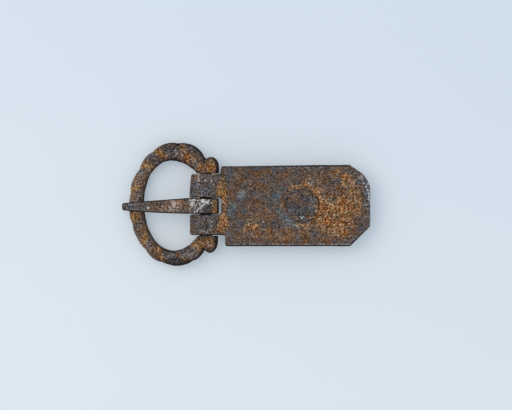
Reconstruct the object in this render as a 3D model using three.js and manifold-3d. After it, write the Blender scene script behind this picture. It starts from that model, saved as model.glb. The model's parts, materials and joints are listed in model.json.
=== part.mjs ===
// A forged iron strap buckle with a folded plate, as found.
// One sheet is folded round the straight bar of a roped D-shaped frame, and a rivet through both leaves
// holds the end of the strap between them. The tongue is a tapered strip, bent into an eye round the
// same bar, and it works in a slot that is cut through the fold.
// Units are millimetres. +X runs from the frame to the strap end of the plate, +Y along the bar and
// +Z out of the front face. Sizes are built from the axis of the bar, and the whole is moved at the
// end so that the origin lies under the centre of the buckle, on the surface that it rests on.
import * as THREE from "three";
import { mergeVertices } from "three/addons/utils/BufferGeometryUtils.js";
import Module from "manifold-3d";

const wasm = await Module();
wasm.setup();

const degree = Math.PI / 180;
const quarterTurn = Math.PI / 2;

// Bar and fold
const barRadius = 1.6;
const barClearance = 0.6; // room above and below the bar inside the fold
const barLanding = 0.6; // how far the round bar runs on inside each arm
const sheetThickness = 1.2;
const foldSetback = 0.57; // how far the bend of the fold is centred in front of the bar
const foldInnerRadius = barRadius + barClearance;
const foldOuterRadius = foldInnerRadius + sheetThickness;
const barHeight = foldOuterRadius;

// Tongue
const tongueThickness = 1.45;
const tongueClearance = 0.3; // between the bar and the eye of the tongue
const tongueRootWidth = 4.05;
const tongueTipWidth = 1.85;
const tongueTipThickness = 1.05;
const tongueTipOverhang = 1.95; // past the outer edge of the frame
const tongueTipDrop = 1.25; // how far the underside bends down over the frame
const tongueSwell = 0.25; // extra thickness near the middle of the strip
const tongueTipSway = 0.3; // how far the tip is bent sideways, towards the lower edge
const tongueSideBulge = 0.25; // how far the control point of each long edge stands out
const tongueRestGap = 0.3; // above the frame where the strip lies on it
const tongueSeam = 0.3; // between the end of the bent eye and the strip
const eyeInnerRadius = barRadius + tongueClearance;
const eyeOuterRadius = eyeInnerRadius + tongueThickness;

// Slot and hinge knuckles cut in the sheet
const slotSideGap = 0.3;
const slotEndGap = 1.05;
const slotWidth = tongueRootWidth + 2 * slotSideGap;
const slotEnd = eyeOuterRadius + slotEndGap;
const upperKnuckleWidth = 6.25;
const lowerKnuckleWidth = 5.6;
const upperKnuckleEdge = slotWidth / 2 + upperKnuckleWidth;
const lowerKnuckleEdge = slotWidth / 2 + lowerKnuckleWidth;

// Knobs at the two ends of the bar: each rises straight from its flat, then closes in a dome
const knobHalfLength = 2.1;
const knobHalfHeight = 2.05;
const upperKnobOffset = 1.32; // centre of a knob behind the axis of the bar
const lowerKnobOffset = 1.1;
const upperKnobRise = 1.5; // from the flat that faces the knuckle to the foot of the dome
const lowerKnobRise = 1.37;
const upperKnobDome = 2.6;
const lowerKnobDome = 3.2;
const knobSideGap = 0.3;
const upperRecess = upperKnuckleEdge + knobSideGap;
const lowerRecess = lowerKnuckleEdge + knobSideGap;

// Roped ring: an ellipse along its centreline, open where the bar closes it
const ringHalfHeight = 14.36;
const ringHalfLength = 10.35;
const ringWidth = 4.2;
const ringThickness = 3.7;
const ropeDepth = 0.42;
const armLanding = 0.18; // where an arm's centreline meets the bar, behind its axis
const ringCentreY = (upperRecess - lowerRecess) / 2;
const armEndAngle = Math.asin((upperRecess - ringCentreY) / ringHalfHeight);
const ringCentreX = armLanding - ringHalfLength * Math.cos(armEndAngle);
const ringReach = ringHalfLength - ringCentreX;

// The hammered ring swells and thins along its length: angle round the ellipse, share of ringWidth
const ringWidthShares = [
  [48, 1.08],
  [57, 1.24],
  [68, 1.31],
  [92, 1.16],
  [116, 1.02],
  [140, 0.91],
  [158, 0.97],
  [205, 0.98],
  [232, 0.89],
  [256, 0.89],
  [283, 1.05],
  [296, 1.13],
  [306, 1.08],
  [318, 1.0],
];
// Angles round the ellipse at which a groove of the rope crosses the outer edge
const ropeGrooveAngles = [52, 87, 118.7, 142.3, 169, 199.6, 229.9, 254, 291.4, 312];
const ropeInnerShare = 0.2; // depth left in a groove on the worn inner edge, as a share of ropeDepth
const ropeLead = 0.1; // part of a turn by which a groove runs ahead on the front
const armRunOn = 12; // degrees by which each arm runs on before it is cut to the flat of its knob

// Plate
const plateLength = 44.63; // from the axis of the bar to the strap end
const strapRoom = 3.0; // between the leaves
const bendStart = 2.4; // where the front leaf starts to come down to the strap
const bendLength = 3.6;
const upperShoulderRise = 1.9;
const lowerShoulderRise = 2.85;
const upperShoulderGap = 0.5; // between a knob and the shoulder of the plate
const lowerShoulderGap = 2.05;
const plateSpread = 0.45; // how much the upper edge climbs towards the strap end
const upperCornerLength = 5.5;
const upperCornerWidth = 6.1;
const upperCornerBulge = 1.15;
const lowerCornerLength = 5.2;
const lowerCornerWidth = 5.25;
const upperFillet = 0.5; // inside corners beside the knuckles
const lowerFillet = 0.7;
const knuckleRound = 0.7; // worn corner of the lower knuckle, beside the slot
const edgeBevel = 0.3;
const frontLeafTop = 2 * sheetThickness + strapRoom;
const bendEnd = bendStart + bendLength;
const upperShoulder = upperKnobOffset + knobHalfLength + upperShoulderGap;
const lowerShoulder = lowerKnobOffset + knobHalfLength + lowerShoulderGap;
const upperHingeEdge = upperKnuckleEdge + upperShoulderRise;
const lowerEdge = lowerKnuckleEdge + lowerShoulderRise;
const upperStrapEdge = upperHingeEdge + plateSpread;

// Rivet
const rivetPlace = 26.1; // behind the axis of the bar
const rivetHeadRadius = 4.3;
const rivetHeadHeight = 0.6;
const rivetRimHeight = 0.25;
const rivetShankRadius = 1.5;
const rivetTailRadius = 2.3;
const rivetClearance = 0.1;
const rivetSeatGap = 0.05;

// The frame hangs from the bar until its far side touches the surface that the plate lies on
const floorGap = 0.03;
const frameDroop = Math.asin((barHeight - ringThickness / 2 - floorGap) / ringReach);

const cutOverrun = 2; // how far cutting solids run past what they cut
const arcSteps = 14;
const roundSteps = 32;
const ringSteps = 112;
const ringSides = 22;

// A closed three.js geometry as a solid that can be joined and cut.
function solid(geometry) {
  const bare = geometry.clone();
  bare.deleteAttribute("normal");
  bare.deleteAttribute("uv");
  const merged = mergeVertices(bare);
  return new wasm.Manifold(
    new wasm.Mesh({
      numProp: 3,
      vertProperties: new Float32Array(merged.attributes.position.array),
      triVerts: new Uint32Array(merged.index.array),
    }),
  );
}

function geometryOf(body) {
  const { numProp, numVert, vertProperties, triVerts } = body.getMesh();
  const positions = new Float32Array(numVert * 3);
  for (let i = 0; i < numVert; i++) {
    positions.set(vertProperties.subarray(i * numProp, i * numProp + 3), i * 3);
  }
  const geometry = new THREE.BufferGeometry();
  geometry.setAttribute("position", new THREE.BufferAttribute(positions, 3));
  geometry.setIndex(new THREE.BufferAttribute(new Uint32Array(triVerts), 1));
  geometry.computeVertexNormals();
  return geometry;
}

// A plan outline raised along +Z from low to high.
function raised(outline, low, high) {
  const options = { depth: high - low, bevelEnabled: false, curveSegments: arcSteps };
  return new THREE.ExtrudeGeometry(outline, options).translate(0, 0, low);
}

// A side profile, drawn with x along X and y along Z, drawn out along Y from low to high.
function drawnAcross(profile, low, high) {
  const options = { depth: high - low, bevelEnabled: false, curveSegments: arcSteps };
  return new THREE.ExtrudeGeometry(profile, options).rotateX(quarterTurn).translate(0, high, 0);
}

function block(lowX, highX, lowY, highY, lowZ, highZ) {
  const box = new THREE.BoxGeometry(highX - lowX, highY - lowY, highZ - lowZ);
  return box.translate((lowX + highX) / 2, (lowY + highY) / 2, (lowZ + highZ) / 2);
}

// Value at x on the smooth line through pairs of x and value.
function between(pairs, x) {
  const last = pairs.length - 1;
  if (x <= pairs[0][0]) return pairs[0][1];
  if (x >= pairs[last][0]) return pairs[last][1];
  const i = pairs.findIndex((pair) => pair[0] > x) - 1;
  const [lowX, lowValue] = pairs[i];
  const [highX, highValue] = pairs[i + 1];
  return THREE.MathUtils.lerp(lowValue, highValue, THREE.MathUtils.smoothstep(x, lowX, highX));
}

// How many grooves of the rope have passed at an angle round the ring, counted along its outer edge.
function ropeTurns(angle) {
  const passed = ropeGrooveAngles.filter((grooveAngle) => grooveAngle <= angle).length;
  const i = THREE.MathUtils.clamp(passed - 1, 0, ropeGrooveAngles.length - 2);
  const [low, high] = ropeGrooveAngles.slice(i, i + 2);
  return i + (angle - low) / (high - low);
}

// One section of the ring: its points run from the outer edge over the front to the inner edge and
// back underneath, and the groove of the rope winds round them.
function ringSection(angle) {
  const turn = angle * degree;
  const centre = new THREE.Vector3(
    ringCentreX + ringHalfLength * Math.cos(turn),
    ringCentreY + ringHalfHeight * Math.sin(turn),
    0,
  );
  const outward = new THREE.Vector3(
    Math.cos(turn) / ringHalfLength,
    Math.sin(turn) / ringHalfHeight,
    0,
  ).normalize();
  const halfWidth = (ringWidth * between(ringWidthShares, angle)) / 2;
  const halfThickness = ringThickness / 2;
  const points = [];
  for (let i = 0; i < ringSides; i++) {
    const around = (i / ringSides) * 2 * Math.PI;
    const outerShare = (1 + Math.cos(around)) / 2;
    const lead = i / ringSides + ropeLead * (1 - outerShare);
    const strand = Math.abs(Math.sin(Math.PI * (ropeTurns(angle) + lead)));
    const depth = ropeDepth * THREE.MathUtils.lerp(ropeInnerShare, 1, outerShare);
    const cut = depth * (1 - Math.pow(strand, 0.6));
    const point = centre.clone();
    point.addScaledVector(outward, (halfWidth - cut) * Math.cos(around));
    point.z += (halfThickness - cut) * Math.sin(around);
    points.push(point);
  }
  return points;
}

// Joins a row of equal sections into one closed tube with flat ends.
function loft(sections) {
  const sides = sections[0].length;
  const vertices = sections.flat();
  const faces = [];
  for (let s = 0; s < sections.length - 1; s++) {
    for (let i = 0; i < sides; i++) {
      const a = s * sides + i;
      const b = s * sides + ((i + 1) % sides);
      faces.push(a, a + sides, b, b, a + sides, b + sides);
    }
  }
  const lastStart = (sections.length - 1) * sides;
  for (let i = 1; i < sides - 1; i++) {
    faces.push(0, i, i + 1);
    faces.push(lastStart, lastStart + i + 1, lastStart + i);
  }
  const geometry = new THREE.BufferGeometry().setFromPoints(vertices);
  geometry.setIndex(faces);
  return geometry;
}

// A knob whose foot stands on y = 0 and whose dome starts at the rise.
function knobSolid(rise, dome) {
  const ball = new THREE.SphereGeometry(1, roundSteps, roundSteps / 2);
  ball.scale(knobHalfLength, dome, knobHalfHeight).translate(0, rise, 0);
  const foot = new THREE.CylinderGeometry(1, 1, rise, roundSteps);
  foot.scale(knobHalfLength, 1, knobHalfHeight).translate(0, rise / 2, 0);
  return solid(ball).add(solid(foot));
}

// The frame in its own plane, with the axis of the bar on Y: a roped ring, a knob at each end of it,
// and the straight bar between the flats of the knobs.
function frameGeometry() {
  const firstAngle = armEndAngle / degree - armRunOn;
  const lastAngle = 360 - firstAngle;
  const sections = [];
  for (let i = 0; i <= ringSteps; i++) {
    sections.push(ringSection(THREE.MathUtils.lerp(firstAngle, lastAngle, i / ringSteps)));
  }
  const upperKnob = knobSolid(upperKnobRise, upperKnobDome);
  const lowerKnob = knobSolid(lowerKnobRise, lowerKnobDome).mirror([0, 1, 0]);
  const recessReach = eyeOuterRadius + cutOverrun;
  const recess = block(
    -recessReach,
    recessReach,
    -lowerRecess,
    upperRecess,
    -recessReach,
    recessReach,
  );
  const arms = solid(loft(sections))
    .add(upperKnob.translate([upperKnobOffset, upperRecess, 0]))
    .add(lowerKnob.translate([lowerKnobOffset, -lowerRecess, 0]))
    .subtract(solid(recess));
  const barLength = upperRecess + lowerRecess + 2 * barLanding;
  const bar = new THREE.CylinderGeometry(barRadius, barRadius, barLength, roundSteps);
  bar.translate(0, (upperRecess - lowerRecess) / 2, 0);
  return geometryOf(arms.add(solid(bar)));
}

// Side view of the tongue in the frame's own plane: the strip leaves the top of its eye, swells, lies
// on the far side of the ring and bends down past it. The eye is bent round the bar from above.
function tongueProfile() {
  const seatHeight = ringThickness / 2 + tongueRestGap;
  const ringEdge = ringReach + ringWidth / 2;
  const tip = -(ringEdge + tongueTipOverhang);
  const tipUnderside = seatHeight - tongueTipDrop;
  const tipTop = tipUnderside + tongueTipThickness;
  const seatTop = seatHeight + (tongueThickness + tongueTipThickness) / 2;
  const swellTop = eyeOuterRadius + tongueSwell;
  const seamAngle = Math.PI - Math.asin((eyeInnerRadius - tongueSeam) / eyeOuterRadius);
  const profile = new THREE.Shape();
  profile.moveTo(tip, tipUnderside);
  profile.lineTo(tip, tipTop);
  profile.quadraticCurveTo(-ringEdge, seatTop, -ringReach, seatTop);
  profile.bezierCurveTo(-ringReach / 2, swellTop, -ringReach / 3, swellTop, 0, eyeOuterRadius);
  profile.absarc(0, 0, eyeOuterRadius, quarterTurn, seamAngle, true);
  profile.absarc(0, 0, eyeInnerRadius, seamAngle, quarterTurn, false);
  profile.lineTo(-ringReach, seatHeight);
  profile.quadraticCurveTo(-ringEdge, seatHeight, tip, tipUnderside);
  return profile;
}

// The tongue's taper seen from above: the long edges are slightly bowed and the tip is swayed.
function tongueOutline() {
  const tip = -(ringReach + ringWidth / 2 + tongueTipOverhang);
  const root = eyeOuterRadius + cutOverrun;
  const waist = -eyeOuterRadius;
  const middle = (tip + waist) / 2;
  const halfRoot = tongueRootWidth / 2;
  const upperTip = tongueTipWidth / 2 - tongueTipSway;
  const lowerTip = -tongueTipWidth / 2 - tongueTipSway;
  const tipRound = tongueTipWidth / 4;
  const upperBow = (halfRoot + upperTip - tongueTipSway) / 2 + tongueSideBulge;
  const lowerBow = (lowerTip - halfRoot - tongueTipSway) / 2 - tongueSideBulge;
  const outline = new THREE.Shape();
  outline.moveTo(root, halfRoot);
  outline.lineTo(waist, halfRoot);
  outline.quadraticCurveTo(middle, upperBow, tip + tipRound, upperTip);
  outline.quadraticCurveTo(tip, upperTip, tip, upperTip - tipRound);
  outline.lineTo(tip, lowerTip + tipRound);
  outline.quadraticCurveTo(tip, lowerTip, tip + tipRound, lowerTip);
  outline.quadraticCurveTo(middle, lowerBow, waist, -halfRoot);
  outline.lineTo(root, -halfRoot);
  return outline;
}

function tongueGeometry() {
  const reach = eyeOuterRadius + cutOverrun;
  const strip = solid(drawnAcross(tongueProfile(), -tongueRootWidth, tongueRootWidth));
  return geometryOf(strip.intersect(solid(raised(tongueOutline(), -reach, reach))));
}

// Side view of the folded sheet, on the surface it lies on: flat back leaf, fold round the bar, and
// the front leaf, which comes down from the fold to the strap.
function sheetProfile() {
  const end = plateLength + cutOverrun;
  const bendMiddle = (bendStart + bendEnd) / 2;
  const foldTop = 2 * foldOuterRadius;
  const foldInnerTop = foldTop - sheetThickness;
  const frontLeafUnderside = frontLeafTop - sheetThickness;
  const profile = new THREE.Shape();
  profile.moveTo(end, 0);
  profile.lineTo(-foldSetback, 0);
  profile.absarc(-foldSetback, barHeight, foldOuterRadius, -quarterTurn, quarterTurn, true);
  profile.lineTo(bendStart, foldTop);
  profile.bezierCurveTo(bendMiddle, foldTop, bendMiddle, frontLeafTop, bendEnd, frontLeafTop);
  profile.lineTo(end, frontLeafTop);
  profile.lineTo(end, frontLeafUnderside);
  profile.lineTo(bendEnd, frontLeafUnderside);
  profile.bezierCurveTo(
    bendMiddle,
    frontLeafUnderside,
    bendMiddle,
    foldInnerTop,
    bendStart,
    foldInnerTop,
  );
  profile.lineTo(-foldSetback, foldInnerTop);
  profile.absarc(-foldSetback, barHeight, foldInnerRadius, quarterTurn, -quarterTurn, false);
  profile.lineTo(end, sheetThickness);
  return profile;
}

// Outline of the sheet seen from above: two knuckles with the slot of the tongue between them, the
// shoulders that clear the knobs, and the cut corners of the strap end.
function sheetOutline() {
  const knuckleTip = -(foldOuterRadius + foldSetback);
  const front = knuckleTip - cutOverrun;
  const upperCut = plateLength - upperCornerLength;
  const lowerCut = plateLength - lowerCornerLength;
  const upperCutEnd = upperStrapEdge - upperCornerWidth;
  const lowerCutEnd = lowerCornerWidth - lowerEdge;
  const bulgeX = (upperCut + plateLength) / 2 + upperCornerBulge;
  const bulgeY = (upperStrapEdge + upperCutEnd) / 2 + upperCornerBulge;
  const outline = new THREE.Shape();
  outline.moveTo(front, slotWidth / 2);
  outline.lineTo(slotEnd, slotWidth / 2);
  outline.lineTo(slotEnd, -slotWidth / 2);
  outline.lineTo(knuckleTip + knuckleRound, -slotWidth / 2);
  outline.quadraticCurveTo(knuckleTip, -slotWidth / 2, knuckleTip, -slotWidth / 2 - knuckleRound);
  outline.lineTo(front, -slotWidth / 2 - knuckleRound);
  outline.lineTo(front, -lowerKnuckleEdge);
  outline.lineTo(lowerShoulder - lowerFillet, -lowerKnuckleEdge);
  outline.quadraticCurveTo(
    lowerShoulder,
    -lowerKnuckleEdge,
    lowerShoulder,
    -lowerKnuckleEdge - lowerFillet,
  );
  outline.lineTo(lowerShoulder, -lowerEdge);
  outline.lineTo(lowerCut, -lowerEdge);
  outline.lineTo(plateLength, lowerCutEnd);
  outline.lineTo(plateLength, upperCutEnd);
  outline.quadraticCurveTo(bulgeX, bulgeY, upperCut, upperStrapEdge);
  outline.lineTo(upperShoulder, upperHingeEdge);
  outline.lineTo(upperShoulder, upperKnuckleEdge + upperFillet);
  outline.quadraticCurveTo(
    upperShoulder,
    upperKnuckleEdge,
    upperShoulder - upperFillet,
    upperKnuckleEdge,
  );
  outline.lineTo(front, upperKnuckleEdge);
  return outline;
}

// The outline raised to the front leaf's height, with its outer edges filed off.
function filedBlank() {
  const options = {
    depth: frontLeafTop - 2 * edgeBevel,
    bevelThickness: edgeBevel,
    bevelSize: edgeBevel,
    bevelOffset: -edgeBevel,
    bevelSegments: 1,
    curveSegments: arcSteps,
  };
  return new THREE.ExtrudeGeometry(sheetOutline(), options).translate(0, 0, edgeBevel);
}

// The hole for the rivet, countersunk in the back leaf where the rivet's tail is spread.
function rivetHole() {
  const radius = rivetShankRadius + rivetClearance;
  const sink = rivetTailRadius + rivetClearance;
  const top = frontLeafTop + cutOverrun;
  const points = [
    new THREE.Vector2(0, -cutOverrun),
    new THREE.Vector2(sink, -cutOverrun),
    new THREE.Vector2(sink, 0),
    new THREE.Vector2(radius, sheetThickness),
    new THREE.Vector2(radius, top),
    new THREE.Vector2(0, top),
  ];
  const hole = new THREE.LatheGeometry(points, roundSteps).rotateX(quarterTurn);
  return hole.translate(rivetPlace, 0, 0);
}

function plateGeometry() {
  const width = upperStrapEdge + lowerEdge + cutOverrun;
  const foldTop = 2 * foldOuterRadius;
  const hingePart = solid(raised(sheetOutline(), -cutOverrun, foldTop + cutOverrun)).intersect(
    solid(block(-plateLength, bendEnd, -width, width, -2 * cutOverrun, foldTop + 2 * cutOverrun)),
  );
  const blank = solid(filedBlank()).add(hingePart);
  const folded = solid(drawnAcross(sheetProfile(), -width, width));
  return geometryOf(folded.intersect(blank).subtract(solid(rivetHole())));
}

// A low-headed rivet whose tail is spread flush with the back of the plate.
function rivetGeometry() {
  const headSeat = frontLeafTop + rivetSeatGap;
  const rimTop = headSeat + rivetRimHeight;
  const crown = rivetHeadHeight - rivetRimHeight;
  const points = [
    new THREE.Vector2(0, rivetSeatGap),
    new THREE.Vector2(rivetTailRadius, rivetSeatGap),
    new THREE.Vector2(rivetShankRadius, sheetThickness + rivetSeatGap),
    new THREE.Vector2(rivetShankRadius, headSeat),
    new THREE.Vector2(rivetHeadRadius, headSeat),
  ];
  const crownSteps = 6;
  for (let i = 0; i < crownSteps; i++) {
    const turn = (i / crownSteps) * quarterTurn;
    points.push(
      new THREE.Vector2(rivetHeadRadius * Math.cos(turn), rimTop + crown * Math.sin(turn)),
    );
  }
  points.push(new THREE.Vector2(0, rimTop + crown));
  const rivet = new THREE.LatheGeometry(points, roundSteps).rotateX(quarterTurn);
  return rivet.translate(rivetPlace, 0, 0);
}

function iron(color, roughness, metalness) {
  return new THREE.MeshStandardMaterial({ color, roughness, metalness });
}

function piece(name, geometry, material) {
  const mesh = new THREE.Mesh(geometry, material);
  mesh.name = name;
  return mesh;
}

const ringIron = iron(0x4a3a30, 0.7, 0.5);
const tongueIron = iron(0x5a4a42, 0.6, 0.6);
const sheetIron = iron(0x55453b, 0.75, 0.5);
const rivetIron = iron(0x443a36, 0.7, 0.5);

const hinge = new THREE.Group();
hinge.position.set(0, 0, barHeight);
hinge.rotation.y = -frameDroop;
hinge.add(piece("buckle_frame", frameGeometry(), ringIron));
hinge.add(piece("tongue", tongueGeometry(), tongueIron));

const onBar = new THREE.Group();
onBar.add(hinge);
onBar.add(piece("folded_plate", plateGeometry(), sheetIron));
onBar.add(piece("rivet", rivetGeometry(), rivetIron));

const buckle = new THREE.Group();
buckle.add(onBar);
buckle.updateMatrixWorld(true);
const extent = new THREE.Box3().setFromObject(buckle, true);
const middle = extent.getCenter(new THREE.Vector3());
onBar.position.set(-middle.x, -middle.y, -extent.min.z);

export default buckle;
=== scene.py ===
import json
import math

import bmesh
import bpy
import numpy as np
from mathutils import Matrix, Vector


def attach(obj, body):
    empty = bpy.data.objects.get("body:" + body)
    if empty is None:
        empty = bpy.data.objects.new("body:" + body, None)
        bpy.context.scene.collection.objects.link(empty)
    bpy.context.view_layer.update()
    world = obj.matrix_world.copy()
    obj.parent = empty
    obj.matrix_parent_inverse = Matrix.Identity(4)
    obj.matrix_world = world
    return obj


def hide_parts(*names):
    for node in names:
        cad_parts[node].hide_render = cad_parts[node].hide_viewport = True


# A forged iron strap buckle as found: roped frame, tongue, folded plate and rivet.
# Pieces are modelled in millimetres round the hinge bar, then brought to size in the frame.

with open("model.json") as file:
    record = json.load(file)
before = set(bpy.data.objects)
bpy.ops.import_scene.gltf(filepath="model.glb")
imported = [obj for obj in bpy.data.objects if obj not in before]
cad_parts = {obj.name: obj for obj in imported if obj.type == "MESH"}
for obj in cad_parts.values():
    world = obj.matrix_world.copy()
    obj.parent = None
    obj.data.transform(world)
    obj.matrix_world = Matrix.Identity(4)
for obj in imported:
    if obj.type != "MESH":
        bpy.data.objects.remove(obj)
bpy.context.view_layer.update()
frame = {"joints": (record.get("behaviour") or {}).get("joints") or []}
barAxis = Vector(frame["joints"][0]["pos_m"])
mm = 0.001
middleLine = -0.434 * mm  # where the pieces' own middle line lies across the frame
samePlace = 0.001  # millimetres within which points are one
near = 0.01  # millimetres within which points are in line
print("frame loaded, bar axis at", [round(v, 5) for v in barAxis])


# modelling helpers
def nothingSelected():
    if bpy.context.mode != "OBJECT":
        bpy.ops.object.mode_set(mode="OBJECT")
    bpy.ops.object.select_all(action="DESELECT")


def onlyThis(piece):
    nothingSelected()
    piece.select_set(True)
    bpy.context.view_layer.objects.active = piece


def added(name, scale=(1, 1, 1)):  # names the new primitive and applies its place and size
    piece = bpy.context.object
    piece.name = name
    piece.data.name = name
    piece.scale = scale
    onlyThis(piece)
    bpy.ops.object.transform_apply(location=True, rotation=True, scale=True)
    return piece


def editStart(piece, selection="DESELECT"):
    onlyThis(piece)
    bpy.ops.object.mode_set(mode="EDIT")
    bpy.ops.mesh.select_mode(type="VERT")
    bpy.ops.mesh.select_all(action=selection)


def editEnd():
    bpy.ops.object.mode_set(mode="OBJECT")


def picked(piece, kind, rule):  # selects the vertices or faces whose place fits the rule
    bpy.ops.mesh.select_mode(type=kind)
    bpy.ops.mesh.select_all(action="DESELECT")
    cage = bmesh.from_edit_mesh(piece.data)
    for part in cage.verts if kind == "VERT" else cage.faces:
        part.select = bool(rule(part.co if kind == "VERT" else part.calc_center_median()))
    cage.select_flush_mode()
    bmesh.update_edit_mesh(piece.data)


def extrudeBy(step):
    bpy.ops.mesh.extrude_region_move(TRANSFORM_OT_translate={"value": step})


def cutOff(piece, point, normal, rule=lambda place: True):  # drops what lies beyond a plane
    picked(piece, "FACE", rule)
    bpy.ops.mesh.bisect(plane_co=point, plane_no=normal, clear_outer=True, threshold=1e-5)


def applied(piece, kind, **settings):
    onlyThis(piece)
    modifier = piece.modifiers.new(kind.title(), kind)
    for key, value in settings.items():
        setattr(modifier, key, value)
    bpy.ops.object.modifier_apply(modifier=modifier.name)


def outward(piece):
    editStart(piece, "SELECT")
    bpy.ops.mesh.remove_doubles(threshold=samePlace)
    bpy.ops.mesh.normals_make_consistent(inside=False)
    editEnd()


def joined(pieces, name):
    nothingSelected()
    for piece in pieces:
        piece.select_set(True)
    bpy.context.view_layer.objects.active = pieces[0]
    bpy.ops.object.join()
    pieces[0].name = name
    pieces[0].data.name = name
    return pieces[0]


def takenOut(piece, shape):
    applied(piece, "BOOLEAN", operation="DIFFERENCE", object=shape, solver="EXACT")
    bpy.data.objects.remove(shape)


def sawn(piece, low, high, turn=0, lean=0):  # takes a square notch out, or a corner off when turned or leant
    middle = [(a + b) / 2 for a, b in zip(low, high)]
    bpy.ops.mesh.primitive_cube_add(size=1, location=middle, rotation=(0, lean, turn))
    takenOut(piece, added("saw", [b - a for a, b in zip(low, high)]))


def filed(piece, width, segments, angle):  # takes the edges off where two faces meet at more than the angle
    applied(
        piece, "BEVEL", width=width, segments=segments, limit_method="ANGLE",
        angle_limit=math.radians(angle), use_clamp_overlap=False,
    )


def grained(piece, sizes):  # one fine even skin all over
    applied(piece, "REMESH", mode="VOXEL", voxel_size=sizes["grain"])
    applied(piece, "SMOOTH", factor=0.5, iterations=sizes["smoothing"])


def hammered(piece, sizes):  # dents, scale and crust, which stand in the mesh itself
    for name, size, height, depth, group in sizes["dents"]:
        texture = bpy.data.textures.new(name, "CLOUDS")
        texture.noise_scale = size
        texture.noise_depth = depth
        texture.noise_basis = "ORIGINAL_PERLIN"
        applied(
            piece, "DISPLACE", texture=texture, texture_coords="LOCAL", strength=height, vertex_group=group
        )


def points(mesh, what="co"):
    values = np.empty(len(mesh.vertices) * 3, np.float32)
    mesh.vertices.foreach_get(what, values)
    return values.reshape(-1, 3).astype(float)


def movedTo(mesh, places):
    mesh.vertices.foreach_set("co", places.astype(np.float32).ravel())
    mesh.update()


def ramp(value, low, high):  # smooth 0 to 1
    share = np.clip((value - low) / (high - low), 0, 1)
    return share * share * (3 - 2 * share)


def bow(values, share):  # a place along the curve that three or four values draw
    last = len(values) - 1
    parts = [math.comb(last, i) * share ** i * (1 - share) ** (last - i) for i in range(last + 1)]
    return sum(part * value for part, value in zip(parts, values))


def weighted(piece, name, weights):  # vertex group from a list of weights, in steps of a tenth
    group = piece.vertex_groups.new(name=name)
    steps = np.round(weights * 10).astype(int)
    for step in range(1, 11):
        members = np.nonzero(steps == step)[0]
        if len(members):
            group.add(members.tolist(), step / 10, "REPLACE")


def marked(mesh, name, values):
    attribute = mesh.attributes.new(name, "FLOAT", "POINT")
    attribute.data.foreach_set("value", values.astype(np.float32))


def evened(mesh, values, rounds):  # every value is drawn towards those beside it
    ends = np.empty(len(mesh.edges) * 2, np.int32)
    mesh.edges.foreach_get("vertices", ends)
    one, other = ends.reshape(-1, 2).T
    count = len(values)
    degree = np.maximum(np.bincount(one, minlength=count) + np.bincount(other, minlength=count), 1)
    for _ in range(rounds):
        beside = np.bincount(one, values[other], count) + np.bincount(other, values[one], count)
        values = (values + beside / degree) / 2
    return values


def reliefOf(mesh, rounds, reach):  # + on edges and bumps, - in corners and grooves
    places = points(mesh)
    smooth = np.stack([evened(mesh, places[:, axis], rounds) for axis in range(3)], 1)
    return ((places - smooth) * points(mesh, "normal")).sum(1) / reach


def slopeOf(mesh, darkSide, alongX=1):  # 0 where it lies flat, up to 1 where it turns to the dark side, away from the light: painted shade along the outline
    towards, low, high = darkSide
    normal = points(mesh, "normal")
    slope = 1 - np.sqrt(np.clip(1 - (normal[:, 0] * alongX) ** 2 - normal[:, 1] ** 2, 0, 1))
    turned = normal[:, :2] @ np.array(towards) / np.maximum(np.hypot(normal[:, 0], normal[:, 1]), 1e-6)
    return slope * ramp(turned, low, high)


def intoFrame(piece, droop=0.0, height=None):  # millimetres round the bar to metres in the frame
    onlyThis(piece)
    piece.scale = (mm, mm, mm)
    piece.rotation_euler = (0, -droop, 0)
    piece.location = (barAxis.x, middleLine, barAxis.z if height is None else height)
    bpy.ops.object.transform_apply(location=True, rotation=True, scale=True)
    bpy.ops.object.shade_smooth()


def placed(piece, body, node, material):
    piece.data.materials.clear()
    piece.data.materials.append(material)
    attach(piece, body)
    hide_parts(node)
    print(piece.name, "in place with", len(piece.data.polygons), "faces")


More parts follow.
